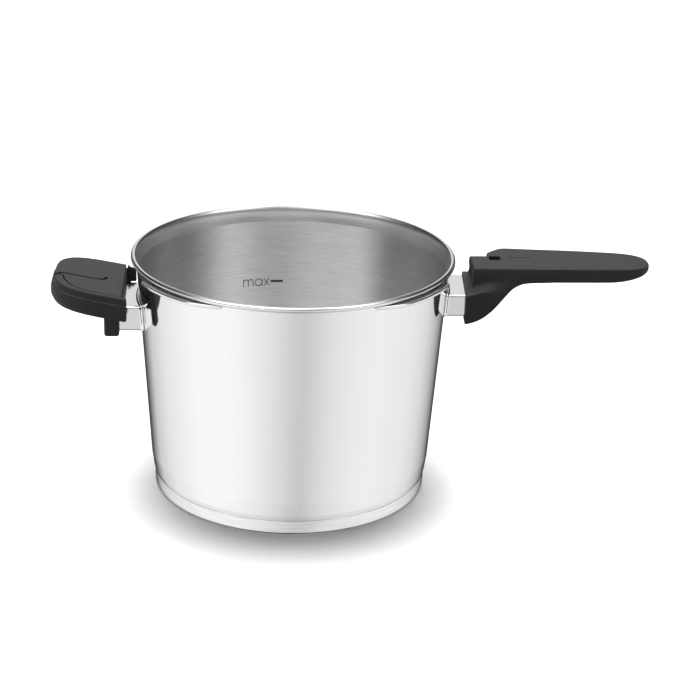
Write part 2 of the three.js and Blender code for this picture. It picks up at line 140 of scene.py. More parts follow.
# ---------- materials ----------
class Nodes:
    """Short names for building one node tree."""

    def __init__(self, tree):
        self.tree = tree

    def add(self, kind, **settings):
        node = self.tree.nodes.new(kind)
        for key, value in settings.items():
            setattr(node, key, value)
        return node

    def link(self, a, b):
        self.tree.links.new(a, b)

    def noise(self, vector, scale, detail=4.0, roughness=0.6):
        node = self.add("ShaderNodeTexNoise")
        node.inputs["Scale"].default_value = scale
        node.inputs["Detail"].default_value = detail
        node.inputs["Roughness"].default_value = roughness
        self.link(vector, node.inputs["Vector"])
        return node.outputs["Fac"]

    def ramp(self, factor, stops):
        node = self.add("ShaderNodeValToRGB")
        elements = node.color_ramp.elements
        while len(elements) < len(stops):
            elements.new(0.5)
        for element, (at, colour) in zip(elements, stops):
            element.position = at
            element.color = (*colour, 1.0)
        self.link(factor, node.inputs["Fac"])
        return node.outputs["Color"]

    def span(self, factor, low, high, from_low=0.3, from_high=0.7):
        """Stretches a part of the factor's range over low to high."""
        node = self.add("ShaderNodeMapRange")
        node.inputs["From Min"].default_value = from_low
        node.inputs["From Max"].default_value = from_high
        node.inputs["To Min"].default_value = low
        node.inputs["To Max"].default_value = high
        self.link(factor, node.inputs["Value"])
        return node.outputs["Result"]

    def maths(self, operation, a, b=None):
        node = self.add("ShaderNodeMath", operation=operation)
        for socket, item in zip(node.inputs, (a, b)):
            if item is None:
                continue
            if isinstance(item, (int, float)):
                socket.default_value = item
            else:
                self.link(item, socket)
        return node.outputs[0]

    def blend(self, factor, first, second, mode="MIX"):
        """Mixes two colours; each is an output or plain numbers."""
        node = self.add("ShaderNodeMix", data_type="RGBA", blend_type=mode)
        for socket, item in zip((node.inputs[0], node.inputs[6], node.inputs[7]), (factor, first, second)):
            if isinstance(item, float):
                socket.default_value = item
            elif isinstance(item, tuple):
                socket.default_value = (*item, 1.0)
            else:
                self.link(item, socket)
        return node.outputs[2]

    def times(self, first, second):
        return self.blend(1.0, first, second, "MULTIPLY")

    def bump(self, height, strength, distance, normal=None):
        node = self.add("ShaderNodeBump")
        node.inputs["Strength"].default_value = strength
        node.inputs["Distance"].default_value = distance
        self.link(height, node.inputs["Height"])
        if normal is not None:
            self.link(normal, node.inputs["Normal"])
        return node.outputs["Normal"]


class Coat(Nodes):
    """The node tree of a new material, built round one principled shader."""

    def __init__(self, name, metallic=0.0):
        self.material = bpy.data.materials.new(name)
        self.material.use_nodes = True
        super().__init__(self.material.node_tree)
        self.tree.nodes.clear()
        output = self.add("ShaderNodeOutputMaterial")
        self.shader = self.add("ShaderNodeBsdfPrincipled")
        self.link(self.shader.outputs[0], output.inputs["Surface"])
        self.place = self.add("ShaderNodeTexCoord").outputs["Object"]
        self.value("Metallic", metallic)

    def value(self, socket, number):
        self.shader.inputs[socket].default_value = number

    def set(self, socket, output):
        self.link(output, self.shader.inputs[socket])

    def scaled(self, x, y, z):
        """Object coordinates squeezed by a factor along each axis, so a noise grows streaks."""
        node = self.add("ShaderNodeMapping")
        node.inputs["Scale"].default_value = (x, y, z)
        self.link(self.place, node.inputs["Vector"])
        return node.outputs["Vector"]

    def radius(self):
        """Distance from the pot's axis, as a vector along Z."""
        parts = self.add("ShaderNodeSeparateXYZ")
        self.link(self.place, parts.inputs[0])
        square = self.maths("ADD", self.maths("MULTIPLY", parts.outputs[0], parts.outputs[0]),
                            self.maths("MULTIPLY", parts.outputs[1], parts.outputs[1]))
        joined = self.add("ShaderNodeCombineXYZ")
        self.link(self.maths("SQRT", square), joined.inputs[2])
        return joined.outputs[0]

    def tangent_round(self):
        """Turns the brushing so that it runs round the pot's axis."""
        node = self.add("ShaderNodeTangent", direction_type="RADIAL", axis="Z")
        self.link(node.outputs[0], self.shader.inputs["Tangent"])


def grey(level):
    return (level, level, level)


def steel_polished(name, level=0.86, roughness=(0.03, 0.07)):
    """Buffed steel with very fine lines and a slight waviness."""
    m = Coat(name, metallic=1.0)
    lines = m.noise(m.scaled(6, 6, 1600), 1.0, 3.0)
    cloud = m.noise(m.place, 16.0, 2.0)
    m.set("Base Color", m.ramp(lines, [(0.25, grey(level - 0.006)), (0.75, grey(level + 0.006))]))
    mixed = m.maths("ADD", m.maths("MULTIPLY", lines, 0.5), m.maths("MULTIPLY", cloud, 0.5))
    m.set("Roughness", m.span(mixed, *roughness))
    fine = m.bump(lines, 0.008, 0.00002)
    m.set("Normal", m.bump(cloud, 0.012, 0.0006, fine))
    return m.material


def steel_brushed_round(name, level=0.88, roughness=(0.38, 0.46), spread=0.95):
    """Satin brushing that runs round the pot's wall."""
    m = Coat(name, metallic=1.0)
    m.value("Anisotropic", spread)
    m.value("Anisotropic Rotation", 0.25)
    m.tangent_round()
    fine = m.noise(m.scaled(90, 90, 2200), 1.0, 4.0, 0.7)
    coarse = m.noise(m.scaled(30, 30, 700), 1.0, 3.0)
    both = m.maths("ADD", m.maths("MULTIPLY", fine, 0.6), m.maths("MULTIPLY", coarse, 0.4))
    m.set("Base Color", m.ramp(both, [(0.3, grey(level - 0.16)), (0.7, grey(level + 0.08))]))
    m.set("Roughness", m.span(both, *roughness))
    m.set("Normal", m.bump(both, 0.35, 0.00004))
    return m.material


def steel_turned(name, level=0.66, roughness=(0.22, 0.34)):
    """Satin rings round the axis on a level face."""
    m = Coat(name, metallic=1.0)
    m.value("Anisotropic", 0.5)
    m.tangent_round()
    rings = m.noise(m.radius(), 1500.0, 5.0, 0.7)
    wide = m.noise(m.radius(), 160.0, 2.0)
    both = m.maths("ADD", m.maths("MULTIPLY", rings, 0.7), m.maths("MULTIPLY", wide, 0.3))
    m.set("Base Color", m.ramp(both, [(0.3, grey(level - 0.05)), (0.7, grey(level + 0.04))]))
    m.set("Roughness", m.span(both, *roughness))
    m.set("Normal", m.bump(both, 0.3, 0.00006))
    return m.material


def plastic(name, level=0.03, roughness=(0.46, 0.60)):
    """Black phenolic moulding: fine spark-eroded grain, faint flow clouding, paler worn edges."""
    m = Coat(name)
    m.value("Specular IOR Level", 0.3)
    grain = m.noise(m.place, 2600.0, 3.0, 0.7)
    cloud = m.noise(m.place, 60.0, 3.0)
    edge = m.add("ShaderNodeNewGeometry").outputs["Pointiness"]
    worn = m.span(edge, 0.0, 1.0, 0.53, 0.62)
    shade = m.ramp(cloud, [(0.3, grey(level * 0.85)), (0.7, grey(level * 1.15))])
    m.set("Base Color", m.blend(m.maths("MULTIPLY", worn, 0.5), shade, grey(level * 2.2)))
    rough = m.maths("ADD", m.maths("MULTIPLY", grain, 0.4), m.maths("MULTIPLY", cloud, 0.6))
    m.set("Roughness", m.span(rough, *roughness))
    m.set("Normal", m.bump(grain, 0.25, 0.00008))
    return m.material


def zinc(name):
    """Cloudy, faintly blue zinc plating."""
    m = Coat(name, metallic=1.0)
    patch = m.noise(m.place, 500.0, 3.0)
    m.set("Base Color", m.ramp(patch, [(0.3, (0.52, 0.53, 0.56)), (0.7, (0.66, 0.67, 0.69))]))
    m.set("Roughness", m.span(patch, 0.3, 0.42))
    m.set("Normal", m.bump(patch, 0.15, 0.00008))
    return m.material


def marking(name):
    """The dull dark grey of an etched mark."""
    m = Coat(name, metallic=0.2)
    speck = m.noise(m.place, 1800.0, 3.0)
    m.set("Base Color", m.ramp(speck, [(0.3, grey(0.045)), (0.7, grey(0.07))]))
    m.set("Roughness", m.span(speck, 0.5, 0.65))
    m.set("Normal", m.bump(speck, 0.2, 0.00005))
    return m.material


POLISHED = steel_polished("steel_polished")
RIM = steel_polished("steel_rim", level=0.84, roughness=(0.12, 0.18))
LIP = steel_polished("steel_lip", level=0.86, roughness=(0.26, 0.34))
BRACKET = steel_polished("steel_bracket", level=0.88, roughness=(0.10, 0.16))
BRUSHED = steel_brushed_round("steel_brushed_wall")
TURNED = steel_turned("steel_turned_floor", level=0.84)
BASE_SIDE = steel_brushed_round("steel_base_side", level=0.86, roughness=(0.14, 0.22), spread=0.3)
BASE_UNDER = steel_turned("steel_base_under", level=0.7)
ALUMINIUM = steel_turned("aluminium_core", level=0.75, roughness=(0.4, 0.5))
PLASTIC = plastic("phenolic_black")
PANEL = plastic("phenolic_black_panel")
ZINC = zinc("zinc_plated")
MARK = marking("etched_mark")


# ---------- mesh building ----------
def new_piece(name, points, faces, materials, replaces=(), normals=None, face_materials=None):
    """Makes a smooth mesh object from millimetres, and ties it to the frame."""
    mesh = bpy.data.meshes.new(name)
    mesh.from_pydata((np.asarray(points) * MM).tolist(), [], [list(map(int, f)) for f in faces])
    for material in materials:
        mesh.materials.append(material)
    mesh.shade_smooth()
    if face_materials is not None:
        mesh.polygons.foreach_set("material_index", face_materials)
    if normals is not None:
        mesh.normals_split_custom_set_from_vertices(np.asarray(normals).tolist())
    mesh.update()
    piece = bpy.data.objects.new(name, mesh)
    bpy.context.scene.collection.objects.link(piece)
    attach(piece, "root")
    if replaces:
        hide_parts(*replaces)
    return piece


def rounded_path(corners, steps=7):
    """A polyline through (r, z, radius) corners, with each corner rounded."""
    path = []
    count = len(corners)
    for i, (r, z, radius) in enumerate(corners):
        here = np.array([r, z], float)
        if radius <= 0 or i in (0, count - 1):
            path.append(here)
            continue
        before = np.array(corners[i - 1][:2], float) - here
        after = np.array(corners[i + 1][:2], float) - here
        u, v = before / np.linalg.norm(before), after / np.linalg.norm(after)
        half = math.acos(np.clip(u @ v, -1, 1)) / 2
        reach = min(radius / math.tan(half), 0.49 * np.linalg.norm(before), 0.49 * np.linalg.norm(after))
        start, end = here + u * reach, here + v * reach
        for k in range(steps + 1):
            t = k / steps
            path.append((1 - t) ** 2 * start + 2 * t * (1 - t) * here + t ** 2 * end)
    return np.array(path)


def lathe(path, segments):
    """Turns a closed path, from axis to axis, round Z. Returns points, faces and each face's path step."""
    angles = np.linspace(0, 2 * math.pi, segments, endpoint=False)
    ring = np.stack([np.cos(angles), np.sin(angles)], 1)
    points = [[0, 0, path[0][1]]]
    for r, z in path[1:-1]:
        points.extend(np.column_stack([ring * r, np.full(segments, z)]).tolist())
    points.append([0, 0, path[-1][1]])
    last = len(points) - 1
    faces, steps = [], []
    rings = len(path) - 2
    for k in range(segments):
        n = (k + 1) % segments
        faces.append([0, 1 + n, 1 + k])
        steps.append(0)
        for j in range(rings - 1):
            a, b = 1 + j * segments, 1 + (j + 1) * segments
            faces.append([a + k, a + n, b + n, b + k])
            steps.append(j + 1)
        a = 1 + (rings - 1) * segments
        faces.append([a + k, a + n, last])
        steps.append(rings)
    return points, faces, steps


# ---------- solids from distance fields ----------
def smin(a, b, k):
    """The lesser of two distances, blended over k where they meet."""
    h = np.maximum(k - np.abs(a - b), 0) / k
    return np.minimum(a, b) - h * h * k / 4


def smax(a, b, k):
    """The greater of two distances, blended over k where they meet."""
    return -smin(-a, -b, k)


def soft(t, k=2.0):
    """Zero below 0 and t above it, with a soft turn."""
    return 0.5 * (t + np.sqrt(t * t + k))


def round_box(x, y, z, low, high, radius):
    """Signed distance from a box with rounded edges."""
    q = []
    for value, a, b in zip((x, y, z), low, high):
        q.append(np.abs(value - (a + b) / 2) - (b - a) / 2 + radius)
    out = np.sqrt(sum(np.maximum(c, 0) ** 2 for c in q))
    inner = np.minimum(np.maximum(np.maximum(q[0], q[1]), q[2]), 0)
    return out + inner - radius


def outline(points):
    """Signed distance from a closed outline, negative inside."""
    a = np.asarray(points, float)
    b = np.roll(a, -1, axis=0)

    def distance(u, v):
        u, v = np.broadcast_arrays(u, v)
        best = np.full(u.shape, 1e9)
        inside = np.zeros(u.shape, bool)
        for (au, av), (bu, bv) in zip(a, b):
            eu, ev = bu - au, bv - av
            t = np.clip(((u - au) * eu + (v - av) * ev) / (eu * eu + ev * ev), 0, 1)
            best = np.minimum(best, (u - au - eu * t) ** 2 + (v - av - ev * t) ** 2)
            if ev != 0:
                inside ^= ((av > v) != (bv > v)) & (u < eu * (v - av) / ev + au)
        return np.where(inside, -1, 1) * np.sqrt(best)

    return distance


def line_distance(points):
    """Distance from an open line."""
    a = np.asarray(points, float)

    def distance(u, v):
        u, v = np.broadcast_arrays(u, v)
        best = np.full(u.shape, 1e9)
        for (au, av), (bu, bv) in zip(a[:-1], a[1:]):
            eu, ev = bu - au, bv - av
            t = np.clip(((u - au) * eu + (v - av) * ev) / (eu * eu + ev * ev), 0, 1)
            best = np.minimum(best, (u - au - eu * t) ** 2 + (v - av - ev * t) ** 2)
        return np.sqrt(best)

    return distance


def spline(points, per=6):
    """A smooth line through the points (Catmull-Rom)."""
    p = np.asarray(points, float)
    p = np.vstack([2 * p[0] - p[1], p, 2 * p[-1] - p[-2]])
    line = []
    for i in range(1, len(p) - 2):
        for k in range(per):
            t = k / per
            line.append(0.5 * (2 * p[i] + (p[i + 1] - p[i - 1]) * t
                               + (2 * p[i - 1] - 5 * p[i] + 4 * p[i + 1] - p[i + 2]) * t ** 2
                               + (3 * p[i] - p[i - 1] - 3 * p[i + 1] + p[i + 2]) * t ** 3))
    line.append(p[-2])
    return np.array(line)


def surface(field, low, high, cell, settle=3):
    """Closed surface where field(x, y, z) = 0, as points, quads and normals (surface nets).

    Each cell that the surface crosses gets one point. The points then settle onto the surface.
    """
    axes = [np.arange(a - 2 * cell, b + 3 * cell, cell) for a, b in zip(low, high)]
    shape = tuple(len(a) for a in axes)
    values = field(axes[0][:, None, None], axes[1][None, :, None], axes[2][None, None, :])
    values = np.ascontiguousarray(np.broadcast_to(values, shape)).astype(np.float64)
    inside = values < 0
    cells, spots, quads = [], [], []
    for axis in range(3):
        here = [slice(None)] * 3
        there = [slice(None)] * 3
        here[axis], there[axis] = slice(0, -1), slice(1, None)
        index = np.argwhere(inside[tuple(here)] != inside[tuple(there)])
        ahead = index.copy()
        ahead[:, axis] += 1
        fa, fb = values[tuple(index.T)], values[tuple(ahead.T)]
        spot = np.stack([axes[k][index[:, k]] for k in range(3)], 1)
        spot[:, axis] += fa / (fa - fb) * cell
        u, v = (axis + 1) % 3, (axis + 2) % 3
        around = []
        for du, dv in ((1, 1), (0, 1), (0, 0), (1, 0)):
            beside = index.copy()
            beside[:, u] -= du
            beside[:, v] -= dv
            flat = np.ravel_multi_index(tuple(beside.T), shape)
            around.append(flat)
            cells.append(flat)
            spots.append(spot)
        around = np.stack(around, 1)
        quads.append(np.where((fa < 0)[:, None], around, around[:, ::-1]))
    flat, used = np.unique(np.concatenate(cells), return_inverse=True)
    spots = np.concatenate(spots)
    count = np.bincount(used)
    points = np.stack([np.bincount(used, spots[:, k]) / count for k in range(3)], 1)
    faces = np.searchsorted(flat, np.concatenate(quads))

    step, least_slope, settle_reach = 0.02, 0.04, 0.35 * cell

    def slope(p):
        parts = []
        for k in range(3):
            shift = np.zeros(3)
            shift[k] = step
            parts.append((field(*(p + shift).T) - field(*(p - shift).T)) / (2 * step))
        return np.stack(parts, 1)

    for _ in range(settle):
        gradient = slope(points)
        size = np.maximum((gradient ** 2).sum(1), least_slope)
        move = (field(*points.T) / size)[:, None] * gradient
        length = np.linalg.norm(move, axis=1, keepdims=True)
        points = points - move * np.minimum(1, settle_reach / np.maximum(length, 1e-9))
    gradient = slope(points)
    normals = gradient / np.maximum(np.linalg.norm(gradient, axis=1, keepdims=True), 1e-9)
    return points, faces, normals


def field_piece(name, field, low, high, cell, material, replaces):
    points, faces, normals = surface(field, low, high, cell)
    return new_piece(name, points, faces, [material], replaces, normals)


# ---------- pot ----------
SHINY, BEAD, SATIN, TURNED_FLOOR, ROUNDED_LIP = range(5)  # places in the pot's list of materials


def pot_body():
    """The drawn pot: one closed path up the outside, over the rolled rim and down the inside."""
    outside = rounded_path([
        (0, FLOOR_Z, 0),
        (100.2, FLOOR_Z, 2.5),
        (103.0, SEAM_Z - 0.3, 0.6),
        (105.2, SEAM_Z + 0.2, 0.8),
        (106.1, 15.5, 6),
        (wall_radius(WALL_LOW), WALL_LOW, 30),
        (wall_radius(WALL_HIGH), WALL_HIGH, 30),
        (117.9, 177.2, 6),
        (118.1, BEAD_Z - 1.2, 0.6),
    ])
    turns = np.radians(np.linspace(-150, 88, 21))
    roll = np.stack([BEAD_R + BEAD_SIZE * np.cos(turns), BEAD_Z + BEAD_SIZE * np.sin(turns)], 1)
    fall = np.radians(np.linspace(6, 90, 15))
    lip = np.stack([LIP_R - LIP_REACH * np.sin(fall), POT_HIGH[2] - LIP_DROP * (1 - np.cos(fall))], 1)
    roll = np.vstack([roll, lip])
    inside = rounded_path([
        (wall_radius(168) - WALL_T - 0.05, 168, 0),
        (wall_radius(WALL_HIGH) - WALL_T, WALL_HIGH - 1, 5),
        (wall_radius(WALL_LOW) - WALL_T, WALL_LOW, 25),
        (104.3, 14.6, 8),
        (97.5, FLOOR_Z + WALL_T, 9),
        (0, FLOOR_Z + WALL_T, 0),
    ], steps=8)
    path = np.vstack([outside, roll, inside])
    points, faces, steps = lathe(path, LATHE_STEPS)
    middle = (path[:-1] + path[1:]) / 2
    kind = np.full(len(path) - 1, SHINY)
    bead_top, lip_foot, floor_r, floor_top = 183.6, 172, 96, 12.5
    for k, (r, z) in enumerate(middle):
        if k < len(outside) - 1:
            continue
        if z > bead_top or k < len(outside) + len(turns) - 3:
            kind[k] = BEAD
        elif z > lip_foot:
            kind[k] = ROUNDED_LIP
        elif r > floor_r and z > floor_top:
            kind[k] = SATIN
        else:
            kind[k] = TURNED_FLOOR
    new_piece("pot_body", points, faces, [POLISHED, RIM, BRUSHED, TURNED, LIP],
              ["pot_shell"], face_materials=kind[steps])


def base_shell():
    """The steel cap round the base disc, open at the top."""
    path = rounded_path([
        (0, 0, 0),
        (BASE_R - 2.1, 0, 0.8),
        (BASE_R - 0.25, 1.7, 1.2),
        (BASE_R, 4, 1),
        (BASE_R, SEAM_Z, 0.35),
        (BASE_R - 0.95, SEAM_Z, 0.3),
        (BASE_R - 1.0, 2.3, 0.6),
        (BASE_R - 2.2, 0.9, 0.6),
        (0, 0.9, 0),
    ])
    points, faces, steps = lathe(path, LATHE_STEPS)
    middle = (path[:-1] + path[1:]) / 2
    kind = np.where(middle[:, 0] > BASE_R - 1.6, 0, 1)
    new_piece("base_shell", points, faces, [BASE_SIDE, BASE_UNDER],
              ["base_cap"], face_materials=kind[steps])


def lug(name, centre, far, node):
    """A flat lug, blunt towards the handle and tapered at the far end, made straight and then bent."""
    middle = (LUG_R0 + LUG_R1) / 2
    half = LUG_HALF * middle
    plan = outline(rounded_path([
        (0, LUG_R0, 0),
        (half, LUG_R0, 1.0),
        (half, LUG_R1, 5.5),
        (-half + LUG_TAPER, LUG_R1, 30),
        (-half, LUG_R0 + 1.2, 1.5),
        (-half, LUG_R0, 0.5),
        (-1, LUG_R0, 0),
    ], steps=8))

    def field(s, r, z):
        thick = np.abs(z - (LUG_Z0 + LUG_Z1) / 2) - (LUG_Z1 - LUG_Z0) / 2
        return smax(plan(s, r), thick, 1.1)

    low, high = (-half, LUG_R0, LUG_Z0), (half, LUG_R1, LUG_Z1)
    points, faces, normals = surface(field, low, high, LUG_CELL)
    turn = centre - far * points[:, 0] / middle
    c, s = np.cos(turn), np.sin(turn)
    bent = np.stack([points[:, 1] * c, points[:, 1] * s, points[:, 2]], 1)
    n = np.stack([normals[:, 1] * c + far * normals[:, 0] * s,
                  normals[:, 1] * s - far * normals[:, 0] * c, normals[:, 2]], 1)
    faces = faces if far > 0 else faces[:, ::-1]
    new_piece(name, bent, faces, [RIM], [node], n)


def arc(u, v, radius, start, end, steps=12):
    """Points along an arc about (u, v), with its ends given in degrees."""
    return [(u + radius * math.cos(a), v + radius * math.sin(a))
            for a in np.radians(np.linspace(start, end, steps + 1))]


MARK_HEIGHT, MARK_SIZE, MARK_STROKE, MARK_DEEP = 118.2, 5.7, 0.62, 0.07
MARK_TURN = 0.325  # radians from the back towards the helper handle
WORD_END = 3.76  # in letter heights
BAR_GAP, BAR_RISE, BAR_LONG, BAR_WIDE = 1.4, 3.4, 10.2, 1.7
MARK_LINES = [
    [(0, 0), (0, 1)],
    [*arc(0.36, 0.64, 0.36, 180, 0), (0.72, 0)],
    [*arc(1.08, 0.64, 0.36, 180, 0), (1.44, 0)],
    arc(2.26, 0.5, 0.5, 0, 360, 28),
    [(2.76, 1), (2.76, 0)],
    [(3.06, 1), (WORD_END, 0)],
    [(3.06, 0), (WORD_END, 1)],
]


def ribbon(line, width):
    """Corner points of a thin bar that follows a line in the wall's plane, and the faces between them."""
    dense = [np.array(line[0], float)]
    for end in line[1:]:
        start, end = dense[-1], np.array(end, float)
        count = max(1, int(np.linalg.norm(end - start) / 1.2))
        dense += [start + (end - start) * k / count for k in range(1, count + 1)]
    path = np.array(dense)
    along = np.gradient(path, axis=0)
    along /= np.linalg.norm(along, axis=1, keepdims=True)
    side = np.stack([-along[:, 1], along[:, 0]], 1) * width / 2
    corners, faces = [], []
    for k, (p, q) in enumerate(zip(path, side)):
        corners += [(*(p + q), 0), (*(p - q), 0), (*(p - q), MARK_DEEP), (*(p + q), MARK_DEEP)]
        if k:
            a, b = 4 * (k - 1), 4 * k
            faces += [[a + j, a + (j + 1) % 4, b + (j + 1) % 4, b + j] for j in range(4)]
    faces += [[3, 2, 1, 0], [4 * k, 4 * k + 1, 4 * k + 2, 4 * k + 3]]
    return corners, faces


def fill_mark():
    """The generic fill level mark on the back wall inside: a word and a line."""
    bars = [([(u * MARK_SIZE, v * MARK_SIZE) for u, v in line], MARK_STROKE) for line in MARK_LINES]
    start = WORD_END * MARK_SIZE + BAR_GAP
    bars.append(([(start, BAR_RISE), (start + BAR_LONG, BAR_RISE)], BAR_WIDE))
    points, faces = [], []
    for line, width in bars:
        corners, sides = ribbon(line, width)
        faces += [[i + len(points) for i in face] for face in sides]
        for u, v, deep in corners:
            z = MARK_HEIGHT + v
            r = wall_radius(z) - WALL_T - 0.02 - deep
            angle = math.pi / 2 + MARK_TURN - u / r
            points.append((r * math.cos(angle), r * math.sin(angle), z))
    piece = new_piece("fill_mark", points, faces, [MARK])
    piece.data.shade_flat()


# ---------- handle brackets ----------
def bracket(name, neck, node):
    """A hollow box-shaped neck with a small weld lip that follows the pot's wall."""
    side, w, z0, z1, end, lip = (neck[k] for k in ("side", "w", "z0", "z1", "end", "lip"))
    slant = 1 / math.hypot(1, WALL_SLOPE)

    def field(x, y, z):
        along = side * x
        wall = (np.sqrt(x * x + y * y) - wall_radius(z)) * slant
        tube = round_box(along, y, z, (88, -w, z0), (end, w, z1), 2.4)
        flat = round_box(along * 0, y, z, (-9, -w - lip, z0 - 0.5), (9, w + lip, z1 + 1.2), 3)
        flange = smax(flat, np.abs(wall - 0.9) - 0.8, 0.9)
        steel = smin(tube, flange, 1.0)
        hollow = round_box(along, y, z, (60, -w + SHEET, z0 + SHEET),
                           (end - SHEET, w - SHEET, z1 - SHEET), 1.0)
        steel = smax(steel, -hollow, 0.3)
        return smax(steel, 0.08 - wall, 0.2)

    reach = (108, end) if side > 0 else (-end, -108)
    low, high = (reach[0], -w - lip, z0 - 1), (reach[1], w + lip, z1 + 1.2)
    field_piece(name, field, low, high, BRACKET_CELL, BRACKET, [node])


def socket_for(neck, x, y, z, depth):
    """The room that a handle leaves round its neck, open towards the pot from this depth."""
    w, z0, z1 = neck["w"] + NECK_GAP, neck["z0"] - NECK_GAP, neck["z1"] + NECK_GAP
    return round_box(neck["side"] * x, y, z, (depth, -w, z0), (neck["end"] + NECK_GAP, w, z1), 2.7)


def drilled(body, neck, seat, x, y, z):
    """The body with both screw holes: a wide bore to the seat and a narrow one beyond it."""
    along = neck["side"] * x
    middle = (neck["z0"] + neck["z1"]) / 2
    for at in (-SCREW_Y, SCREW_Y):
        radial = np.sqrt((y - at) ** 2 + (z - middle) ** 2)
        body = smax(body, -smax(radial - SCREW_HEAD_BORE, seat - WASHER_T - along, 0.3), 0.5)
        body = smax(body, -smax(radial - SCREW_BORE, along - seat, 0.3), 0.3)
    return body


# ---------- long handle ----------
GRIP_PLAN = outline(np.vstack([
    [(135.2, 11.1), (135.2, -18.6), (150, -19.0)],
    spline([(165, -19.3), (199.7, -19.7), (225, -19.4), (242, -19.1), (253, -18.5), (261.8, -16.6),
            (267.8, -12.4), (270.5, -6.8), (GRIP_TIP, -0.6), (270.5, 5.4), (267.6, 11.4), (262.6, 15.8),
            (256.9, 18.6), (251, 20.3), (244.9, 21.6), (232.6, 23.3), (220.3, 24.9), (208, 26.2),
            (195.7, 27.2), (183.4, 28.4), (171, 29.6), (164.9, 30.1), (161, 29.6)], per=4),
    [(158.2, 28.0), (150.4, 20.4), (149.2, 18.6), (149.0, 11.1)],
]))

GRIP_SIDE = outline(np.vstack([
    spline([(COLLAR_X, 137.2), (131, 137.3), (136.8, 138.8), (142.8, 141.7), (148.6, 146.0), (154.4, 151.8),
            (160, 158.3), (165.2, 163.4), (171, 166.2), (178, 167.1), (196, 167.2)], per=4),
    [(196, 177), (COLLAR_X, 177)],
]))


def long_grip_field(x, y, z):
    """A flat plate with a body below it that flares out to the collar round the neck."""
    lift = 8.0 * np.clip((x - 238) / 33, 0, 1) ** 2
    plan = GRIP_PLAN(x, y)
    under = (plan + 0.92 * (171.2 + 0.35 * lift - z)) * 0.736
    plate = smax(plan, under, 1.6)
    plate = smax(plate, 166.4 + lift - z, 2.0)

    crease = np.interp(x, [128, 134, 150, 166, 182], [161.8, 163.2, 169.5, 175.4, 179])
    limit = np.interp(x, [128.5, 142, 150, 158, 167, 176, 196], [27.4, 26.4, 25.0, 23.2, 21.2, 19.0, 13])
    flare = np.interp(x, [128, 138, 146, 154, 166], [4.0, 3.0, 1.2, 0.5, 0.27])
    front = smin(GRIP_FRONT_W + flare * soft(crease - z), limit, 2.0)
    back = smin(GRIP_BACK_W + soft(176 - z), limit, 3.0)
    lower = smax(GRIP_SIDE(x, z), (-y - front) * 0.96, 1.6)
    lower = smax(lower, (y - back) * 0.8, 1.6)
    lower = smax(lower, COLLAR_X + 0.065 * (y + COLLAR_W) - x, 0.8)
    foot = 136.5 + 0.087 * y - 0.0035 * y * y
    nose = foot + (135.4 - foot) * np.clip((z - 162) / 14, 0, 1)
    notch = smax(x - nose, 161.8 - z, 0.8)
    lower = smax(lower, -notch, 0.8)

    body = smin(plate, lower, 2.2)
    body = smax(body, z - GRIP_TOP, 1.3)
    body = smax(body, -socket_for(LONG_NECK, x, y, z, 100), 0.5)
    slot = round_box(x, y, z, (149.4, 1.5, 168), (158, 10.6, 190), 0.6)
    body = smax(body, -slot, 0.6)
    body = drilled(body, LONG_NECK, LONG_SEAT, x, y, z)
    line = np.maximum(np.abs(x - 173) - 8.9, np.abs(y - 7.2) - 0.35)
    return smax(body, -smax(line, GRIP_TOP - 0.6 - z, 0.2), 0.2)


# ---------- helper handle ----------
def deck(x):
    """Height of the helper handle's top at this x."""
    return DECK_Z + DECK_RISE * (DECK_X - x)


RIM_LINE = spline([(-127.0, -34.9), (-140, -34.6), (-152, -33.2), (-161, -29.8), (-167, -23.6),
                   (-170.4, -15.5), (-171.6, -9.0)], per=5)
SWOOSH = spline([(-180.5, -15.5), (-177.9, -12.6), (-175.0, -7.6), (-171.0, -5.4), (-160, -5.3),
                 (-149, -5.5), (-144.3, -4.7), (-141.4, -2.2), (-140.4, 1.4)], per=5)


def panel_outline(grow):
    """The panel's edge from above, or the edge of its bed when grown."""
    rim = RIM_LINE + np.array([-0.6 * grow, -0.8 * grow])
    return outline(np.vstack([
        [(-127.4 + grow, 60), (-127.4 + grow, rim[0][1])],
        rim[1:],
        [(-174.5 - grow, -7.4 - 1.2 * grow), (-177.6, -12.4 - 1.4 * grow)],
        [(-192, -24 - 1.4 * grow), (-192, 60)],
    ]))


PANEL_EDGE = panel_outline(0)
PANEL_BED = panel_outline(1.1)
SWOOSH_LINE = line_distance(SWOOSH)


def helper_blank(x, y, z):
    """The whole handle's outer shape: a top band, then a side wall that stands proud of it."""
    drop = deck(x) - z
    levels = [-2, 0, 5.0, 5.5, 9, 13, 17.5]
    reach = np.interp(drop, levels, [42.2, 43.0, 44.6, 45.3, 46.2, 46.4, 44.4])
    wide = np.interp(drop, levels, [38.6, 39.2, 39.7, 40.5, 40.9, 40.8, 40.0])
    n = 3.2
    over = np.minimum(x + 135, 0) / reach
    ring = (np.abs(over) ** n + np.abs(y / wide) ** n + 1e-9) ** (1 / n)
    shell = (ring - 1) * 0.93 * wide
    shell = smax(shell, x + 124 + 0.22 * np.clip(3 - drop, 0, 9), 1.2)
    shell = smax(shell, drop - 18, 2.0)
    return smax(shell, -drop * 0.98, 1.0)


PANEL_T, PANEL_BED_DEPTH, GROOVE_HALF, GROOVE_DEPTH = 2.2, 3.2, 1.0, 1.9


def helper_panel_field(x, y, z):
    """The panel in the handle's top, with the curved groove beside its edge."""
    drop = deck(x) - z
    body = smax(PANEL_EDGE(x, y), helper_blank(x, y, z), 0.5)
    body = smax(body, drop - PANEL_T, 0.3)
    groove = smax(SWOOSH_LINE(x, y) - GROOVE_HALF, drop - GROOVE_DEPTH, 0.3)
    return smax(body, -groove, 0.25)


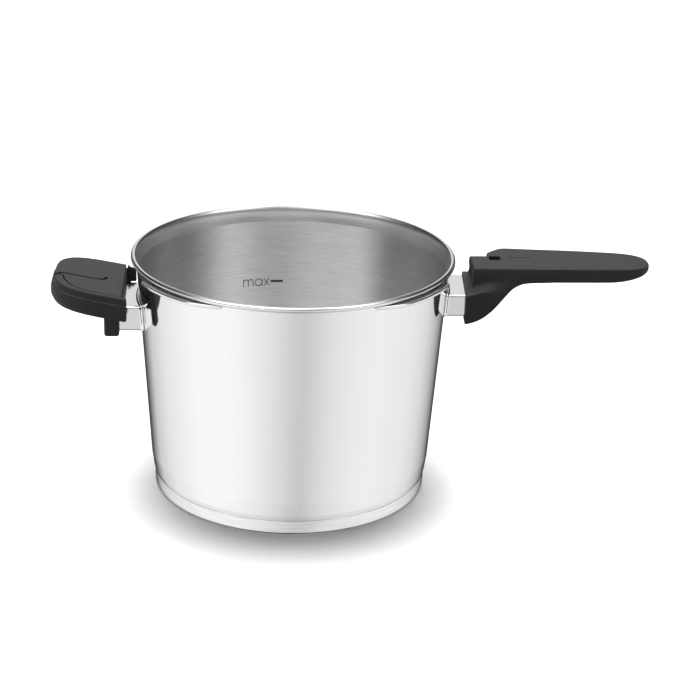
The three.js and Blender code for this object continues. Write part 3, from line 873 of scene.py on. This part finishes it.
def helper_grip_field(x, y, z):
    """The blank with its panel bed, finger recess, leg, end wall, socket and screw holes."""
    drop = deck(x) - z
    n = HELPER_NECK
    blank = helper_blank(x, y, z)
    bed = smax(PANEL_BED(x, y), drop - PANEL_BED_DEPTH, 0.2)
    body = smax(blank, -bed, 0.4)
    finger = round_box(x, y, drop, (-170, -26, 6), (-146, 26, 60), 8)
    body = smax(body, -finger, 1.5)
    leg = round_box(x, y, z, (-141, -n["w"] - 5, n["z0"] - 2.8), (-129.8, n["w"] + 5, 156), 2.0)
    body = smin(body, smax(leg, -bed, 0.3), 0.8)
    end_room = round_box(x, y, z, (-126.9, -33.4, 100), (-90, 37.6, 200), 0.3)
    body = smax(body, -end_room, 0.5)
    end_wall = round_box(x, y, z, (-130, 37.6, 147), (-119.7, 40.4, 158.2), 0.6)
    end_wall = smax(end_wall, (x + 119.7 + z - 155.6) * 0.707, 0.6)
    body = smin(body, smax(end_wall, -bed, 0.3), 0.4)
    body = smax(body, -socket_for(HELPER_NECK, x, y, z, 100), 0.5)
    return drilled(body, HELPER_NECK, HELPER_SEAT, x, y, z)


# ---------- build ----------
pot_body()
base_shell()
lug("lug_back_right", LUG_CENTRE, 1, "bayonet_lug_back_right")
lug("lug_back_left", math.pi - LUG_CENTRE, -1, "bayonet_lug_back_left")
lug("lug_front_left", math.pi + LUG_CENTRE, 1, "bayonet_lug_front_left")
lug("lug_front_right", -LUG_CENTRE, -1, "bayonet_lug_front_right")
fill_mark()
bracket("long_neck", LONG_NECK, "long_handle_bracket")
bracket("helper_neck", HELPER_NECK, "helper_handle_bracket")
field_piece("long_grip", long_grip_field, (128, -28, 137), (272, 31, 180), GRIP_CELL,
            PLASTIC, ["long_handle_grip"])
field_piece("helper_grip", helper_grip_field, (-182, -42, 127), (-117, 42, 172), GRIP_CELL,
            PLASTIC, ["helper_handle_grip"])
field_piece("helper_panel", helper_panel_field, (-182, -42, 155), (-126, 42, 172), PANEL_CELL,
            PANEL, ["helper_handle_top_panel"])

CARRIED_OVER = {
    "base_core": ALUMINIUM,
    "long_handle_threaded_plate": ZINC,
    "helper_handle_threaded_plate": ZINC,
    "long_handle_screw_front": ZINC,
    "long_handle_screw_back": ZINC,
    "long_handle_washer_front": ZINC,
    "long_handle_washer_back": ZINC,
    "helper_handle_screw_front": ZINC,
    "helper_handle_screw_back": ZINC,
    "helper_handle_washer_front": ZINC,
    "helper_handle_washer_back": ZINC,
}
for node, material in CARRIED_OVER.items():
    for slot in frame["nodes"][node].material_slots:
        slot.material = material


# ---------- studio ----------
FLOOR_REACH, FLOOR_EDGES = 12.0, 96  # metres


def stage_floor(material):
    angles = np.linspace(0, 2 * math.pi, FLOOR_EDGES, endpoint=False)
    points = [(FLOOR_REACH * math.cos(a), FLOOR_REACH * math.sin(a), 0.0) for a in angles]
    mesh = bpy.data.meshes.new("paper_floor")
    mesh.from_pydata(points, [], [list(range(FLOOR_EDGES))])
    mesh.materials.append(material)
    piece = bpy.data.objects.new("paper_floor", mesh)
    bpy.context.scene.collection.objects.link(piece)
    piece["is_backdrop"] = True
    return piece


def floor_material():
    m = Coat("paper_floor")
    paper = m.noise(m.place, 40.0, 2.0)
    m.set("Base Color", m.ramp(paper, [(0.3, grey(0.84)), (0.7, grey(0.86))]))
    m.value("Roughness", 0.9)
    m.value("Specular IOR Level", 0.0)
    return m.material


def at_degrees(angle):
    """Place on a ramp of a direction this far, turning towards +X, from the front."""
    return (angle + 180) / 360


floor = stage_floor(floor_material())
floor.visible_diffuse = False
floor.visible_glossy = False


def sun(name, tilt_x, tilt_y, strength, spread, lights, casts=None):
    """A soft far light. It lights one set of objects, and another set may be all that blocks it.

    The tilts and the spread are in degrees.
    """
    data = bpy.data.lights.new(name, "SUN")
    data.energy = strength
    data.angle = math.radians(spread)
    lamp = bpy.data.objects.new(name, data)
    lamp.rotation_euler = (math.radians(tilt_x), math.radians(tilt_y), 0)
    lamp.visible_glossy = False
    bpy.context.scene.collection.objects.link(lamp)
    lamp.light_linking.receiver_collection = lights
    if casts is not None:
        lamp.light_linking.blocker_collection = casts


def group(name, members):
    """A collection that only names what a light reaches or what blocks it."""
    made = bpy.data.collections.new(name)
    for member in members:
        made.objects.link(member)
    return made


paper = group("paper", [floor])
product = group("product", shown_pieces())
pot_only = group("pot_only", [bpy.data.objects[n] for n in ("pot_body", "base_shell")])

sun("paper_key", -8, 0, 5.4, 28, paper, pot_only)
sun("overhead_key", -14, 0, 4.4, 60, product)
sun("left_fill", 20, -72, 1.4, 40, product)
sun("front_fill", 62, 0, 0.12, 60, product)

world = bpy.data.worlds.new("studio")
bpy.context.scene.world = world
world.use_nodes = True
world.cycles_visibility.diffuse = False


def studio_world():
    """What the shiny parts reflect, by direction.

    Pale paper lies below the horizon. Above it come a dim band, then the soft boxes, then a bright top.
    """
    m = Nodes(world.node_tree)
    backing = m.tree.nodes["Background"]
    parts = m.add("ShaderNodeSeparateXYZ")
    m.link(m.add("ShaderNodeTexCoord").outputs["Generated"], parts.inputs[0])
    across, along, up = parts.outputs
    angle = m.maths("ARCTAN2", across, m.maths("MULTIPLY", along, -1.0))
    turn = m.span(angle, 0.0, 1.0, -math.pi, math.pi)
    low = m.blend(m.span(up, 0.0, 1.0, 0.09, 0.14), m.ramp(turn, HORIZON), m.ramp(turn, DIM_BAND))
    high = m.times(m.ramp(turn, BOXES), m.ramp(up, CLIMB))
    high = m.blend(m.span(up, 0.0, 1.0, 0.78, 0.90), high, m.ramp(up, ZENITH))
    above = m.blend(m.span(up, 0.0, 1.0, 0.42, 0.54), low, high)
    below = m.times(m.ramp(turn, PAPER_GLOW), m.ramp(m.maths("MULTIPLY", up, -1.0), DESCENT))
    m.link(m.blend(m.span(up, 0.0, 1.0, -0.06, 0.02), below, above), backing.inputs["Color"])
    backing.inputs["Strength"].default_value = 1.0


HORIZON = [(at_degrees(a), grey(level)) for a, level in [
    (-180, 0.8), (-158, 0.15), (-90, 0.20), (-55, 1.2), (55, 1.2), (90, 0.20), (158, 0.15), (180, 0.8),
]]
DIM_BAND = [(at_degrees(a), grey(level)) for a, level in [
    (-180, 0.8), (-170, 0.8), (-158, 0.05), (-80, 0.05), (-60, 0.12), (60, 0.12), (80, 0.05), (158, 0.05),
    (170, 0.8), (180, 0.8),
]]
CLIMB = [(0.4, grey(1.2)), (0.6, grey(1.8)), (1.0, grey(2.3))]
ZENITH = [(0.78, grey(1.5)), (1.0, grey(1.9))]
DESCENT = [(0.0, grey(1.0)), (0.62, grey(1.0)), (0.85, grey(0.75)), (1.0, grey(0.45))]
BOXES = [(at_degrees(a), grey(level)) for a, level in [
    (-180, 0.25), (-152, 0.05), (-120, 0.05), (-98, 0.14), (-84, 0.24), (-70, 1.1), (-57, 1.70),
    (-42, 1.0), (-27, 1.10), (-8, 0.50), (10, 0.20), (20, 0.18), (34, 0.80), (52, 1.70), (64, 1.00),
    (76, 0.45), (89, 0.20), (104, 0.06), (152, 0.05), (180, 0.25),
]]
PAPER_GLOW = [(at_degrees(a), grey(level)) for a, level in [
    (-180, 0.04), (-160, 0.10), (-148, 0.40), (-140, 0.66), (-118, 0.90), (-101, 0.99), (-82, 1.08),
    (-55, 1.09), (-41, 1.04), (-30, 0.97), (-20, 0.89), (-10, 0.80), (0, 0.70), (8, 0.67), (19, 0.77),
    (30, 0.87), (50, 0.96), (68, 1.0), (87, 0.96), (102, 0.93), (120, 0.81), (133, 0.62), (144, 0.41),
    (157, 0.09), (180, 0.04),
]]
studio_world()


SHELL_R = 18000


def backdrop():
    """A plain white shell far behind everything, which only the camera sees."""
    material = bpy.data.materials.new("backdrop_white")
    material.use_nodes = True
    material.cycles.emission_sampling = "NONE"
    tree = material.node_tree
    tree.nodes.clear()
    glow = tree.nodes.new("ShaderNodeEmission")
    tree.links.new(glow.outputs[0], tree.nodes.new("ShaderNodeOutputMaterial").inputs["Surface"])
    curve = [(SHELL_R * math.cos(a), SHELL_R * math.sin(a)) for a in np.radians(np.linspace(-80, 80, 17))]
    points, faces, _ = lathe([(0, -SHELL_R), *curve, (0, SHELL_R)], 48)
    mesh = bpy.data.meshes.new("backdrop")
    mesh.from_pydata((np.asarray(points) * MM).tolist(), [], faces)
    mesh.materials.append(material)
    shell = bpy.data.objects.new("backdrop", mesh)
    bpy.context.scene.collection.objects.link(shell)
    shell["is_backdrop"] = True
    for ray in ("visible_glossy", "visible_diffuse", "visible_shadow", "visible_transmission"):
        setattr(shell, ray, False)


backdrop()

# ---------- camera ----------
camera_data = bpy.data.cameras.new("camera")
camera_data.sensor_width = 36
camera_data.lens = 95.56
camera_data.clip_end = 50
camera = bpy.data.objects.new("camera", camera_data)
STAND = (-0.0556, -1.3273, 0.6330)
RIGHT = Vector((0.9975, -0.0637, 0.0297))
AHEAD = Vector((0.0702, 0.927, -0.3684))
back_axis = (-AHEAD).normalized()
right_axis = (RIGHT - RIGHT.dot(back_axis) * back_axis).normalized()
up_axis = back_axis.cross(right_axis)
facing = Matrix((right_axis, up_axis, back_axis)).transposed().to_4x4()
camera.matrix_world = Matrix.Translation(STAND) @ facing
bpy.context.scene.collection.objects.link(camera)
bpy.context.scene.camera = camera
bpy.context.scene.view_settings.view_transform = "Standard"
